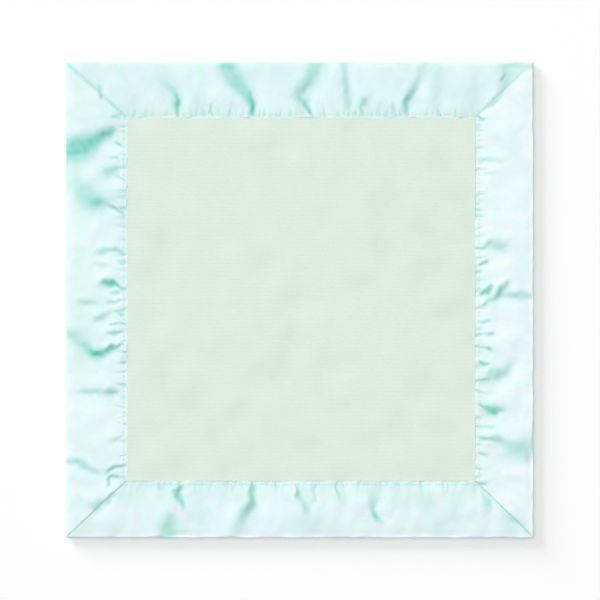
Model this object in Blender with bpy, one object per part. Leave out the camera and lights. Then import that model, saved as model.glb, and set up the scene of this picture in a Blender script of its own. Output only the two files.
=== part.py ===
"""A comfort blanket: two plush panels, bound all round with folded satin that is mitred at its corners.

It lies flat with its front face up and its underside on z = 0. The origin is under its centre,
+Y runs to the top edge and +X to the right edge. Lengths are in metres.
"""

import math

import bmesh
import bpy
from mathutils import Vector

# Whole blanket, from outer fold to outer fold
BLANKET_WIDTH = 0.350
BLANKET_LENGTH = 0.356

# Satin that shows on the front along each side, from the outer fold to the satin's inner edge
BOTTOM_BINDING = 0.0430
RIGHT_BINDING = 0.0440
TOP_BINDING = 0.0418
LEFT_BINDING = 0.0460

# Room left between cloths and threads that touch on the real blanket
CLEARANCE = 0.0003

# Satin binding
SATIN = 0.0004
HEM_TURN = 0.0090
STITCH_INSET = 0.0030
LIP_RISE = 0.0004
EDGE_HEIGHT = 0.0026
SWELL = 0.0024
LOWER_EDGE_ROUNDING = 0.0050
GATHER_START = 0.0018

# Plush panels
PLUSH = 0.0025
PLUSH_AT_SEAM = 0.0006
PLUSH_IN_BINDING = 0.0017
PLUSH_AT_OVERLOCK = 0.0011
RAW_EDGE_INSET = 0.0080
PILE_STEP = 0.0015
PILE_RISE = 0.0050

# Threads
THREAD = 0.0003
OVERLOCK = 0.0003
OVERLOCK_WIDTH = 0.0045
MITRE_SHOULDER = 0.0040

# Section of the swollen satin: rows as shares of the way from the outer fold to the turned hem
ARCH_ROW_SHARES = (0.85, 0.66, 0.46, 0.28, 0.14, 0.05)
SWELL_POWER = 2.4
SWELL_ROUNDNESS = 0.75
UNDER_ROW_SHARES = (0.12, 0.45, 1.0)
BOW_AT_MIDDLE_SHARE = 0.25
MITRE_DIP_SHARE = 0.45

# Swelling of the pile beside the satin, as shares of its run and of its rise
PILE_ROUNDING_SHARES = ((0.12, 0.40), (0.36, 0.74), (0.66, 0.94), (1.0, 1.0))

# Section of a pucker: each line's place, as a share of the half width, and its share of the depth
PUCKER_LINE_SHARES = ((-1.0, -0.08), (-0.42, 0.30), (0.0, 1.0), (0.42, 0.30), (1.0, -0.08))
SEAM_WIDTH_SHARE = 0.65
FOLD_WIDTH_SHARE = 1.25
RISE_SHARE = 0.12
FADE_SHARE = 0.35

# Main puckers of each side, counter-clockwise from the side's first corner. Each row holds shares:
# places at the satin's inner edge, in mid-band and at the outer fold, then half width, all of the
# side's length, then how far across the band it reaches, and its depth, of the drop of the cloth.
BOTTOM_PUCKER_SHARES = (
    (0.242, 0.252, 0.266, 0.013, 0.70, 0.76),
    (0.396, 0.391, 0.356, 0.014, 1.05, 0.80),
    (0.494, 0.510, 0.535, 0.012, 0.75, 0.60),
    (0.577, 0.588, 0.602, 0.009, 0.52, 0.42),
    (0.652, 0.654, 0.690, 0.013, 0.90, 0.66),
    (0.770, 0.774, 0.790, 0.017, 0.90, 0.34),
)
RIGHT_PUCKER_SHARES = (
    (0.213, 0.204, 0.160, 0.018, 1.35, 0.78),
    (0.275, 0.267, 0.266, 0.012, 0.66, 0.80),
    (0.332, 0.344, 0.376, 0.013, 0.80, 0.56),
    (0.398, 0.401, 0.410, 0.009, 0.50, 0.42),
    (0.522, 0.534, 0.506, 0.015, 1.35, 0.78),
    (0.621, 0.612, 0.600, 0.014, 0.66, 0.52),
    (0.793, 0.796, 0.800, 0.012, 0.62, 0.32),
)
TOP_PUCKER_SHARES = (
    (0.208, 0.204, 0.200, 0.013, 0.85, 0.32),
    (0.275, 0.266, 0.240, 0.014, 1.35, 0.80),
    (0.365, 0.362, 0.352, 0.009, 0.50, 0.42),
    (0.400, 0.407, 0.414, 0.011, 1.35, 0.52),
    (0.479, 0.503, 0.456, 0.015, 1.35, 0.80),
    (0.602, 0.622, 0.656, 0.017, 1.35, 0.84),
    (0.764, 0.774, 0.802, 0.013, 0.80, 0.70),
)
LEFT_PUCKER_SHARES = (
    (0.148, 0.168, 0.180, 0.019, 1.35, 0.84),
    (0.222, 0.222, 0.222, 0.008, 0.52, 0.42),
    (0.316, 0.292, 0.260, 0.016, 1.15, 0.78),
    (0.400, 0.397, 0.394, 0.010, 0.60, 0.46),
    (0.466, 0.466, 0.466, 0.012, 0.60, 0.74),
    (0.540, 0.536, 0.532, 0.009, 0.55, 0.45),
    (0.595, 0.616, 0.572, 0.016, 1.20, 0.82),
    (0.692, 0.692, 0.690, 0.011, 0.90, 0.54),
    (0.848, 0.862, 0.838, 0.011, 1.00, 0.58),
)

# Colours are linear red, green and blue
PLUSH_COLOUR = (0.72, 0.84, 0.75)
SATIN_COLOUR = (0.58, 0.84, 0.80)
THREAD_COLOUR = (0.52, 0.80, 0.75)

# Heights that follow from the cloths, stacked upwards from the surface the blanket lies on
HEM = 2 * SATIN
SEAM_LIFT = THREAD + 2 * CLEARANCE
SEAM_BACK_BOTTOM = SEAM_LIFT + HEM + CLEARANCE
SEAM_MIDDLE = SEAM_BACK_BOTTOM + PLUSH_AT_SEAM
SEAM_FRONT_TOP = SEAM_MIDDLE + CLEARANCE + PLUSH_AT_SEAM
SEAM_TOP = SEAM_FRONT_TOP + CLEARANCE + HEM
OVERLOCK_BOTTOM = SATIN + CLEARANCE
BOUND_MIDDLE = OVERLOCK_BOTTOM + OVERLOCK + CLEARANCE + PLUSH_AT_OVERLOCK
BOUND_TOP = BOUND_MIDDLE + CLEARANCE + PLUSH_IN_BINDING
OVERLOCKED_TOP = BOUND_MIDDLE + CLEARANCE + PLUSH_AT_OVERLOCK
OVERLOCK_TOP = OVERLOCKED_TOP + CLEARANCE + OVERLOCK
PANEL_TOP = 2 * PLUSH + CLEARANCE
BINDING_HEIGHT = BOUND_TOP + CLEARANCE + SATIN + SWELL
MITRE_GAP = THREAD + 2 * CLEARANCE


class Side:
    """One side of the blanket, with a frame of its own: x along the side, y in from its outer fold, z up."""

    def __init__(self, name, length, binding, before, after, corner, turn, puckers):
        self.name = name
        self.length = length
        self.binding = binding
        self.before = before
        self.after = after
        self.corner = Vector((*corner, 0.0))
        self.turn = math.radians(turn)
        self.puckers = puckers

    @property
    def stitch(self):
        """Distance of the stitch line from the outer fold."""
        return self.binding - STITCH_INSET

    def place(self, part):
        part.location = self.corner
        part.rotation_euler.z = self.turn
        return part


def blanket_sides():
    half_width, half_length = BLANKET_WIDTH / 2, BLANKET_LENGTH / 2
    return (
        Side("bottom", BLANKET_WIDTH, BOTTOM_BINDING, LEFT_BINDING, RIGHT_BINDING,
             (-half_width, -half_length), 0, BOTTOM_PUCKER_SHARES),
        Side("right", BLANKET_LENGTH, RIGHT_BINDING, BOTTOM_BINDING, TOP_BINDING,
             (half_width, -half_length), 90, RIGHT_PUCKER_SHARES),
        Side("top", BLANKET_WIDTH, TOP_BINDING, RIGHT_BINDING, LEFT_BINDING,
             (half_width, half_length), 180, TOP_PUCKER_SHARES),
        Side("left", BLANKET_LENGTH, LEFT_BINDING, TOP_BINDING, BOTTOM_BINDING,
             (-half_width, half_length), 270, LEFT_PUCKER_SHARES),
    )


def material(name, colour, roughness, sheen):
    made = bpy.data.materials.new(name)
    made.use_nodes = True
    shader = made.node_tree.nodes["Principled BSDF"]
    shader.inputs["Base Color"].default_value = (*colour, 1.0)
    shader.inputs["Roughness"].default_value = roughness
    shader.inputs["Metallic"].default_value = 0.0
    shader.inputs["Sheen Weight"].default_value = sheen
    return made


def add_object(name, data, finish):
    made = bpy.data.objects.new(name, data)
    bpy.context.scene.collection.objects.link(made)
    data.materials.append(finish)
    return made


def finished_mesh(name, shape, finish, smooth):
    """The bmesh as a named object, its faces turned outwards."""
    bmesh.ops.recalc_face_normals(shape, faces=shape.faces)
    mesh = bpy.data.meshes.new(name)
    shape.to_mesh(mesh)
    shape.free()
    if smooth:
        mesh.shade_smooth()
        mesh.set_sharp_from_angle(angle=math.radians(40))
    return add_object(name, mesh, finish)


def bridge(shape, first, second):
    """Faces between two rings of vertices that have the same number of points."""
    for i in range(len(first)):
        j = (i + 1) % len(first)
        shape.faces.new((first[i], first[j], second[j], second[i]))


def smooth_step(value):
    value = min(1.0, max(0.0, value))
    return value * value * (3 - 2 * value)


# Plush panels


def panel_stations(binding):
    """Where the panels change thickness beside a binding of this width, from their raw edge inwards.

    Each station holds its inset from the outer fold, then the heights of the back panel's underside,
    of the back panel's top and of the front panel's top.
    """
    overlocked_to = RAW_EDGE_INSET + OVERLOCK_WIDTH + CLEARANCE
    overlocked = (OVERLOCK_BOTTOM + OVERLOCK + CLEARANCE, BOUND_MIDDLE, OVERLOCKED_TOP)
    bound = (OVERLOCK_BOTTOM, BOUND_MIDDLE, BOUND_TOP)
    over_hem = (HEM + CLEARANCE, BOUND_MIDDLE, BOUND_TOP - SATIN)
    sewn = (SEAM_BACK_BOTTOM, SEAM_MIDDLE, SEAM_FRONT_TOP)
    shown = (0.0, PLUSH, PANEL_TOP)
    visible = []
    for run, rise in PILE_ROUNDING_SHARES:
        heights = [low + (high - low) * rise for low, high in zip(sewn, shown)]
        visible.append((binding + CLEARANCE + PILE_RISE * run, *heights))
    return (
        (RAW_EDGE_INSET, *overlocked),
        (overlocked_to, *overlocked),
        (overlocked_to + PILE_STEP, *bound),
        (binding - HEM_TURN - PILE_STEP, *bound),
        (binding - HEM_TURN, *over_hem),
        (binding - STITCH_INSET - GATHER_START, *sewn),
        (binding + CLEARANCE, *sewn),
        *visible,
    )


def rectangle(shape, insets, height):
    """Four vertices of the rectangle that lies at these insets from the bottom, right, top and left folds."""
    bottom, right, top, left = insets
    low = Vector((left - BLANKET_WIDTH / 2, bottom - BLANKET_LENGTH / 2))
    high = Vector((BLANKET_WIDTH / 2 - right, BLANKET_LENGTH / 2 - top))
    corners = ((low.x, low.y), (high.x, low.y), (high.x, high.y), (low.x, high.y))
    return [shape.verts.new((x, y, height)) for x, y in corners]


def plush_panel(name, sides, lower, upper, lower_gap, finish):
    """A panel between two of the stations' heights. It is thick where it shows and pressed flat where it is sewn."""
    stations = list(zip(*(panel_stations(side.binding) for side in sides)))
    shape = bmesh.new()
    rings = []
    for at_sides in reversed(stations):
        insets = [station[0] for station in at_sides]
        rings.append(rectangle(shape, insets, at_sides[0][lower] + lower_gap))
    for at_sides in stations:
        insets = [station[0] for station in at_sides]
        rings.append(rectangle(shape, insets, at_sides[0][upper]))
    for first, second in zip(rings, rings[1:]):
        bridge(shape, first, second)
    shape.faces.new(rings[0])
    shape.faces.new(rings[-1])
    return finished_mesh(name, shape, finish, smooth=False)


def overlock_thread(finish):
    """The overlocked edge: a thin skin of thread wrapped round the raw edges of both panels."""
    outer = RAW_EDGE_INSET - CLEARANCE - OVERLOCK
    inner = RAW_EDGE_INSET - CLEARANCE
    reach = RAW_EDGE_INSET + OVERLOCK_WIDTH
    section = (
        (reach, OVERLOCK_BOTTOM),
        (outer, OVERLOCK_BOTTOM),
        (outer, OVERLOCK_TOP),
        (reach, OVERLOCK_TOP),
        (reach, OVERLOCK_TOP - OVERLOCK),
        (inner, OVERLOCK_TOP - OVERLOCK),
        (inner, OVERLOCK_BOTTOM + OVERLOCK),
        (reach, OVERLOCK_BOTTOM + OVERLOCK),
    )
    shape = bmesh.new()
    rings = [rectangle(shape, [inset] * 4, height) for inset, height in section]
    for first, second in zip(rings, rings[1:] + rings[:1]):
        bridge(shape, first, second)
    return finished_mesh("overlock_thread", shape, finish, smooth=False)


# Satin binding


def arch_height(share):
    """Height of the swollen front at a share of the way from the outer fold to the stitch line."""
    level = EDGE_HEIGHT + (SEAM_TOP - EDGE_HEIGHT) * share
    swell = (1 - abs(1 - 2 * share) ** SWELL_POWER) ** SWELL_ROUNDNESS
    return level + (BINDING_HEIGHT - (EDGE_HEIGHT + SEAM_TOP) / 2) * swell


def section_rows(side):
    """The satin's outer surface in section, from its front hem round the outer fold to its back hem.

    Each row holds its inset, its height and the thickness of the cloth there, doubled in the hems.
    """
    hem_end = side.binding - HEM_TURN
    hem_start = hem_end - HEM
    rows = [(side.binding, SEAM_TOP + LIP_RISE, HEM), (side.stitch, SEAM_TOP, HEM)]
    for inset in (side.stitch - GATHER_START, hem_end):
        rows.append((inset, arch_height(inset / side.stitch), HEM))
    for inset in (hem_start, *(hem_start * share for share in ARCH_ROW_SHARES)):
        rows.append((inset, arch_height(inset / side.stitch), SATIN))
    rows.append((0.0, EDGE_HEIGHT, SATIN))
    for share in UNDER_ROW_SHARES:
        height = EDGE_HEIGHT * (1 - math.sqrt(1 - (1 - share) ** 2))
        rows.append((LOWER_EDGE_ROUNDING * share, height, SATIN))
    rows.append((hem_start, 0.0, SATIN))
    rows.append((hem_end, 0.0, HEM))
    rows.append((side.stitch - GATHER_START, 0.0, HEM))
    rows.append((side.stitch, SEAM_LIFT, HEM))
    rows.append((side.binding, SEAM_LIFT - LIP_RISE, HEM))
    return rows


def inner_rows(rows):
    """The satin's inner surface: the outer one moved in by the cloth's thickness, square to the section."""
    moved = []
    for i, (inset, height, cloth) in enumerate(rows):
        before, after = rows[max(i - 1, 0)], rows[min(i + 1, len(rows) - 1)]
        way = Vector((after[0] - before[0], after[1] - before[1])).normalized()
        moved.append((inset - way.y * cloth, height + way.x * cloth))
    return moved


def level_at(inset, side):
    """Top of what the binding holds at an inset: the front panel, or the overlock over it."""
    stations = panel_stations(side.binding)
    top = stations[0][3]
    for near, far in zip(stations, stations[1:]):
        if near[0] <= inset <= far[0]:
            top = near[3] + (far[3] - near[3]) * (inset - near[0]) / (far[0] - near[0])
    overlocked = inset <= RAW_EDGE_INSET + OVERLOCK_WIDTH + CLEARANCE
    return max(top, OVERLOCK_TOP) if overlocked else top


def free_drop(row, side):
    """How far the front satin can sink at a row before it meets what the binding holds."""
    inset, height, cloth = row
    return max(0.0, height - cloth - CLEARANCE - level_at(inset, side))


def pucker_weight(row, reach, side):
    """A pucker's strength across the band: nothing at the stitch line, full beyond it, then fading out."""
    across = 1 - row[0] / side.stitch
    return smooth_step(across / RISE_SHARE) * smooth_step((reach - across) / FADE_SHARE)


def along_column(places, inset, side):
    """Where a column runs at an inset, from its places at the outer fold, in mid-band and at the inner edge."""
    at_edge, at_middle, at_fold = places
    share = inset / side.binding
    straight = at_fold + (at_edge - at_fold) * share
    bow = at_middle - (at_edge + at_fold) / 2
    return straight + bow * share * (1 - share) / BOW_AT_MIDDLE_SHARE


def between(first, second):
    return [(one + other) / 2 for one, other in zip(first, second)]


def binding_columns(side):
    """Lines across the binding between its two mitres.

    Each column holds its three places along the side, then its pucker and its share of the depth.
    """
    columns = [((side.before, side.before / 2, 0.0), None, 0.0)]
    columns.append(([place + MITRE_SHOULDER for place in columns[0][0]], None, 0.0))
    widths = (SEAM_WIDTH_SHARE, (SEAM_WIDTH_SHARE + FOLD_WIDTH_SHARE) / 2, FOLD_WIDTH_SHARE)
    for pucker in side.puckers:
        lines = []
        for across, depth in PUCKER_LINE_SHARES:
            moves = [side.length * pucker[3] * width * across for width in widths]
            places = [side.length * share + move for share, move in zip(pucker[:3], moves)]
            lines.append((places, pucker, depth))
        columns.append((between(columns[-1][0], lines[0][0]), None, 0.0))
        columns += lines
    end = [side.length - side.after * share for share in (1.0, 0.5, 0.0)]
    shoulder = [place - MITRE_SHOULDER for place in end]
    columns.append((between(columns[-1][0], shoulder), None, 0.0))
    return [*columns, (shoulder, None, 0.0), (end, None, 0.0)]


def mitre_offset(side, neighbour):
    """How far along the side a strip is cut back from its mitre, to leave the seam its room."""
    return MITRE_GAP / 2 * math.hypot(1, neighbour / side.binding)


def satin_strip(side, finish):
    """One strip of satin, folded over the blanket's edge, puckered along its seam and mitred at both ends."""
    rows = section_rows(side)
    inside = inner_rows(rows)
    fronts = [i <= rows.index((0.0, EDGE_HEIGHT, SATIN)) for i in range(len(rows))]
    columns = binding_columns(side)
    shape = bmesh.new()
    sections = []
    for number, (places, pucker, share) in enumerate(columns):
        outer, inner = [], []
        if number == 0:
            cut_back = mitre_offset(side, side.before)
        elif number == len(columns) - 1:
            cut_back = -mitre_offset(side, side.after)
        else:
            cut_back = 0.0
        for row, under, front in zip(rows, inside, fronts):
            sink = 0.0
            if front and pucker:
                depth = share * pucker[5] * pucker_weight(row, pucker[4], side)
                sink = depth * free_drop(row, side)
            elif front and cut_back:
                sink = MITRE_DIP_SHARE * free_drop(row, side)
            for (inset, height), ring in ((row[:2], outer), (under, inner)):
                along = along_column(places, inset, side) + cut_back
                ring.append(shape.verts.new((along, inset, height - sink)))
        sections.append(outer + inner[::-1])
    for first, second in zip(sections, sections[1:]):
        bridge(shape, first, second)
    for ring in (sections[0], sections[-1]):
        for i in range(len(rows) - 1):
            j = len(ring) - 1 - i
            shape.faces.new((ring[i], ring[i + 1], ring[j - 1], ring[j]))
    return side.place(finished_mesh(f"binding_{side.name}", shape, finish, smooth=True))


# Threads


def thread_run(name, points, resolution, finish):
    """A round thread along these points, closed at both ends."""
    curve = bpy.data.curves.new(name, "CURVE")
    curve.dimensions = "3D"
    curve.bevel_depth = THREAD / 2
    curve.bevel_resolution = resolution
    curve.use_fill_caps = True
    spline = curve.splines.new("POLY")
    spline.points.add(len(points) - 1)
    for point, place in zip(spline.points, points):
        point.co = (*place, 1.0)
    return add_object(name, curve, finish)


def stitch_thread(side, face, height, finish):
    """The topstitching along one side, from mitre to mitre."""
    start = side.before * side.stitch / side.binding + MITRE_GAP
    end = side.length - side.after * side.stitch / side.binding - MITRE_GAP
    points = ((start, side.stitch, height), (end, side.stitch, height))
    return side.place(thread_run(f"{face}_stitch_{side.name}", points, 2, finish))


def mitre_thread(side, corner, finish):
    """The seam that closes a mitre, from the front inner corner round the outer corner to the back inner corner.

    It lies between the ends of two strips, at the first mitre of this side, in the middle of the cloth.
    """
    rows = section_rows(side)
    outermost = rows.index((0.0, EDGE_HEIGHT, SATIN))
    points = []
    for i, (row, under) in enumerate(zip(rows, inner_rows(rows))):
        sink = MITRE_DIP_SHARE * free_drop(row, side) if i <= outermost else 0.0
        inset = (row[0] + under[0]) / 2
        height = (row[1] + under[1]) / 2 - sink
        points.append((inset * side.before / side.binding, inset, height))
    return side.place(thread_run(f"mitre_seam_{corner}", points, 1, finish))


def clear_scene():
    for old in list(bpy.data.objects):
        bpy.data.objects.remove(old, do_unlink=True)


def build():
    clear_scene()
    sides = blanket_sides()
    plush = material("plush", PLUSH_COLOUR, 0.95, 0.6)
    satin = material("satin", SATIN_COLOUR, 0.32, 0.2)
    thread = material("thread", THREAD_COLOUR, 0.55, 0.0)
    plush_panel("back_panel", sides, 1, 2, 0.0, plush)
    plush_panel("front_panel", sides, 2, 3, CLEARANCE, plush)
    overlock_thread(thread)
    for side in sides:
        satin_strip(side, satin)
        front_height = SEAM_TOP + CLEARANCE + THREAD / 2
        back_height = SEAM_LIFT - CLEARANCE - THREAD / 2
        stitch_thread(side, "front", front_height, thread)
        stitch_thread(side, "back", back_height, thread)
    for side, corner in zip(sides, ("bottom_left", "bottom_right", "top_right", "top_left")):
        mitre_thread(side, corner, thread)


build()
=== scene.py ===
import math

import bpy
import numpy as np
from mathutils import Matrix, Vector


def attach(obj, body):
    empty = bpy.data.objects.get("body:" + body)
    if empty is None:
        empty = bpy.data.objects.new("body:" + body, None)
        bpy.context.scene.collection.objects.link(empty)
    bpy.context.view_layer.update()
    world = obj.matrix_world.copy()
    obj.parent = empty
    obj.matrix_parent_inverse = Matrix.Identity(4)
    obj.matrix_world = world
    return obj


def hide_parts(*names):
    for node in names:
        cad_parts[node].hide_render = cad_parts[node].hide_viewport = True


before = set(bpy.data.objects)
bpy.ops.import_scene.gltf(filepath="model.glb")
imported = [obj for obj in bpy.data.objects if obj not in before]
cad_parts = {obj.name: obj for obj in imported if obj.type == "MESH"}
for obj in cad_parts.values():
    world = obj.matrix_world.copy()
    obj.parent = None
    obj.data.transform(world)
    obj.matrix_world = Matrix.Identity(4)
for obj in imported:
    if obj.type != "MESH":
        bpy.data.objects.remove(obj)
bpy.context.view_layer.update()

# A comfort blanket: two plush panels bound all round with folded satin that is mitred at its corners.
# The sections follow its making: panels, overlocked edge, satin, topstitching and mitres, then the
# floor, lights and camera. Lengths are in metres, unless a table says that it is in millimetres.


# Plush panels
#
# Two plies of polyester plush with a short, dense pile, cut square and laid back to back. Where they
# show they keep their full pile, and inside the binding they are pressed flat.

HALF_WIDTH, HALF_LENGTH = 0.175, 0.178
SATIN_SHOWS = {"bottom": 0.0430, "right": 0.0440, "top": 0.0418, "left": 0.0460}
RAW_EDGE_INSET = 0.008


def from_satin_edge(x, y):
    """How far a point lies inside the satin's inner edge, in metres. It is negative under the satin."""
    left = x + HALF_WIDTH - SATIN_SHOWS["left"]
    right = HALF_WIDTH - x - SATIN_SHOWS["right"]
    bottom = y + HALF_LENGTH - SATIN_SHOWS["bottom"]
    top = HALF_LENGTH - y - SATIN_SHOWS["top"]
    return np.minimum(np.minimum(left, right), np.minimum(bottom, top))


def smooth_step(value):
    value = np.clip(value, 0, 1)
    return value * value * (3 - 2 * value)


def ripples(x, y, length, seed):
    """A smooth, irregular field between about -1 and 1, whose waves are about this long."""
    chance = np.random.default_rng(seed)
    field = np.zeros_like(x)
    for turn, size, phase in chance.uniform((0, 0.6, 0), (math.tau, 1.5, math.tau), (14, 3)):
        way = x * math.cos(turn) + y * math.sin(turn)
        field += np.sin(math.tau * way / (length * size) + phase)
    return field / 3.2


def pick(piece):
    """Deselects all, then makes this piece the selected and active one."""
    bpy.ops.object.select_all(action="DESELECT")
    piece.select_set(True)
    bpy.context.view_layer.objects.active = piece


def apply_modifier(piece, kind, **settings):
    modifier = piece.modifiers.new(kind.capitalize(), kind)
    for name, value in settings.items():
        setattr(modifier, name, value)
    pick(piece)
    bpy.ops.object.modifier_apply(modifier=modifier.name)


def flat_cloth(name, columns, rows):
    """A grid of faces from -1 to 1 both ways, facing up."""
    bpy.ops.object.select_all(action="DESELECT")
    bpy.ops.mesh.primitive_grid_add(x_subdivisions=columns, y_subdivisions=rows, size=2)
    cloth = bpy.context.object
    cloth.name = cloth.data.name = name
    return cloth


def corners(piece):
    """A mesh's vertices as three arrays, x, y and z."""
    flat = np.empty(len(piece.data.vertices) * 3)
    piece.data.vertices.foreach_get("co", flat)
    return flat.reshape(-1, 3).T.copy()


def move_corners(piece, x, y, z):
    piece.data.vertices.foreach_set("co", np.stack((x, y, z), axis=1).ravel())
    piece.data.update()


# Lines of a panel's grid: how far inside the satin's edge the close ones lie, in mm, how far from that
# edge the others start, and how many there are. The grid is a flat ply until its faces are moved.
LINES_BESIDE_EDGE = (-4, -2, -1, -0.85, -0.7, -0.6, -0.5, -0.4, -0.2, 0, 0.5, 1.2, 2, 3.2, 4.6)
OTHER_LINES_START = 0.006
LINES_UNDER_SATIN = 13
LINES_THAT_SHOW = 150
FLAT_PLY = 0.001


def panel_lines(half, before, after):
    """Where a panel's grid lines run: close together beside the satin's two inner edges."""
    first, last = before - half, half - after
    beside = np.array(LINES_BESIDE_EDGE) / 1000
    raw, start = half - RAW_EDGE_INSET, OTHER_LINES_START
    return np.concatenate((np.linspace(-raw, first - start, LINES_UNDER_SATIN), first + beside,
                           np.linspace(first + start, last - start, LINES_THAT_SHOW),
                           last - beside[::-1], np.linspace(last + start, raw, LINES_UNDER_SATIN)))


def plush_panel(name, over, under):
    """One ply: a grid, thickened and then moved to its heights."""
    columns = panel_lines(HALF_WIDTH, SATIN_SHOWS["left"], SATIN_SHOWS["right"])
    rows = panel_lines(HALF_LENGTH, SATIN_SHOWS["bottom"], SATIN_SHOWS["top"])
    cloth = flat_cloth(name, len(columns) - 1, len(rows) - 1)
    x, y, z = corners(cloth)
    x = columns[np.rint((x + 1) / 2 * (len(columns) - 1)).astype(int)]
    y = rows[np.rint((y + 1) / 2 * (len(rows) - 1)).astype(int)]
    move_corners(cloth, x, y, z)
    apply_modifier(cloth, "SOLIDIFY", thickness=FLAT_PLY, offset=-1)
    x, y, z = corners(cloth)
    inside = from_satin_edge(x, y)
    move_corners(cloth, x, y, np.where(z > -FLAT_PLY / 2, over(x, y, inside), under(x, y, inside)))
    pick(cloth)
    bpy.ops.object.shade_smooth_by_angle(angle=math.radians(75))
    return cloth


# Heights of the plies where the binding presses them, and what their pile adds where it shows.
FRONT_PRESSED_TOP, FRONT_PILE = 0.0035, 0.0017
PLIES_MEET, PLIES_SETTLE = 0.00268, 0.00016
BACK_PRESSED_BOTTOM = 0.0019
PLY_GAP = 0.0001

# The pile starts to rise under the satin's lip, and closes the gap beside it.
PILE_STARTS_UNDER = 0.0010
PILE_RISES_OVER = 0.0006
PILE_SWELLS_OVER = 0.008


def pile_share(inside):
    """How much of its full height the pile has: it springs up beside the satin, then swells a little."""
    beside = smooth_step((inside + PILE_STARTS_UNDER) / PILE_RISES_OVER)
    return 0.92 * beside + 0.08 * (1 - np.exp(-(np.maximum(inside, 0) / PILE_SWELLS_OVER) ** 2))


def front_pile(x, y, inside):
    rise = pile_share(inside)
    return FRONT_PRESSED_TOP + FRONT_PILE * rise + 0.00010 * rise * ripples(x, y, 0.045, 3)


def between_plies(x, y, inside):
    return PLIES_MEET - PLIES_SETTLE * pile_share(inside) + 0.00006 * ripples(x, y, 0.06, 4)


def back_pile(x, y, inside):
    rise = pile_share(inside)
    return BACK_PRESSED_BOTTOM * (1 - rise) + 0.00004 * (1 + ripples(x, y, 0.05, 5)) * rise


def linear(hex_colour):
    """An sRGB hex colour as linear red, green, blue and alpha."""
    channels = (int(hex_colour[i:i + 2], 16) / 255 for i in (1, 3, 5))
    return (*(c / 12.92 if c <= 0.04045 else ((c + 0.055) / 1.055) ** 2.4 for c in channels), 1.0)


def new_material(name):
    """An empty node material and its Principled shader."""
    material = bpy.data.materials.new(name)
    material.use_nodes = True
    return material, material.node_tree.nodes["Principled BSDF"]


def add(material, kind, inputs=(), **settings):
    """Adds a node, gives each named or numbered input a value or a link, and returns its outputs."""
    node = material.node_tree.nodes.new(kind)
    for name, value in settings.items():
        setattr(node, name, value)
    for name, value in dict(inputs).items():
        if isinstance(value, bpy.types.NodeSocket):
            material.node_tree.links.new(value, node.inputs[name])
        else:
            node.inputs[name].default_value = value
    return node.outputs


# Sheared polyester plush: matt, with a soft bloom where it turns away. The real pile is 0.03 mm
# fibre, far too fine to show, so it is drawn as tufts of 0.9 mm that stand in knitted rows of 3 mm.
plush, shader = new_material("Sheared polyester plush")
place = add(plush, "ShaderNodeTexCoord")["Object"]
tufts = add(plush, "ShaderNodeTexNoise", {"Vector": place, "Scale": 1 / 0.0009, "Detail": 3.0})["Fac"]
lay = add(plush, "ShaderNodeTexNoise", {"Vector": place, "Scale": 1 / 0.022, "Detail": 4.0})["Fac"]
rows = add(plush, "ShaderNodeTexWave", {"Vector": place, "Scale": math.tau / 20 / 0.003, "Distortion": 1.5,
                                        "Detail": 1.0, "Detail Scale": 0.6},
           wave_type="BANDS", bands_direction="Y")["Fac"]
rows_and_lay = add(plush, "ShaderNodeMix", {0: 0.12, 2: lay, 3: rows})[0]
shade = add(plush, "ShaderNodeMapRange", {"Value": rows_and_lay, "From Min": 0.3, "From Max": 0.7})[0]
plush_colour = add(plush, "ShaderNodeMix", {0: shade, 6: linear("#DBEADE"), 7: linear("#E2EEE5")},
                   data_type="RGBA")[2]
pile_bump = add(plush, "ShaderNodeBump", {"Strength": 0.35, "Distance": 0.0004, "Height": tufts})[0]
row_bump = add(plush, "ShaderNodeBump", {"Strength": 0.04, "Distance": 0.0003, "Height": rows,
                                         "Normal": pile_bump})[0]
plush.node_tree.links.new(plush_colour, shader.inputs["Base Color"])
plush.node_tree.links.new(row_bump, shader.inputs["Normal"])
shader.inputs["Roughness"].default_value = 0.95
shader.inputs["IOR"].default_value = 1.45
shader.inputs["Specular IOR Level"].default_value = 0.2
shader.inputs["Sheen Weight"].default_value = 0.25
shader.inputs["Sheen Roughness"].default_value = 0.5
shader.inputs["Sheen Tint"].default_value = linear("#F4FBF6")

front_plush = plush_panel("front_plush", front_pile, lambda x, y, d: between_plies(x, y, d) + PLY_GAP)
back_plush = plush_panel("back_plush", between_plies, back_pile)
for panel, node in ((front_plush, "front_panel"), (back_plush, "back_panel")):
    panel.data.materials.append(plush)
    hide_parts(node)
    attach(panel, "root")


# Overlocked edge
#
# A three-thread overlock joins the raw edges of both plies before they are bound. Its loops run from
# one face over the edge to the other. It is made of the same mint polyester thread as the seams.

LOOP_PITCH = 0.0026
LOOP_RADIUS = 0.00014
LOOPS_START = 0.006
LOOP_RINGS = 8
STRAIGHT_LOOP, STRAIGHT_PITCH = 0.001, 0.002


def face_outwards(piece):
    pick(piece)
    bpy.ops.object.mode_set(mode="EDIT")
    bpy.ops.mesh.select_all(action="SELECT")
    bpy.ops.mesh.normals_make_consistent(inside=False)
    bpy.ops.object.mode_set(mode="OBJECT")


def standing_thread(name, radius, length, rings, around):
    """A thread that stands on z = 0, extruded upwards ring by ring from a filled circle."""
    bpy.ops.object.select_all(action="DESELECT")
    bpy.ops.mesh.primitive_circle_add(vertices=around, radius=radius, fill_type="NGON")
    thread = bpy.context.object
    thread.name = thread.data.name = name
    bpy.ops.object.mode_set(mode="EDIT")
    bpy.ops.mesh.select_all(action="SELECT")
    for _ in range(rings):
        bpy.ops.mesh.extrude_region_move(TRANSFORM_OT_translate={"value": (0, 0, length / rings)})
    bpy.ops.object.mode_set(mode="OBJECT")
    face_outwards(thread)
    return thread


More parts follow.
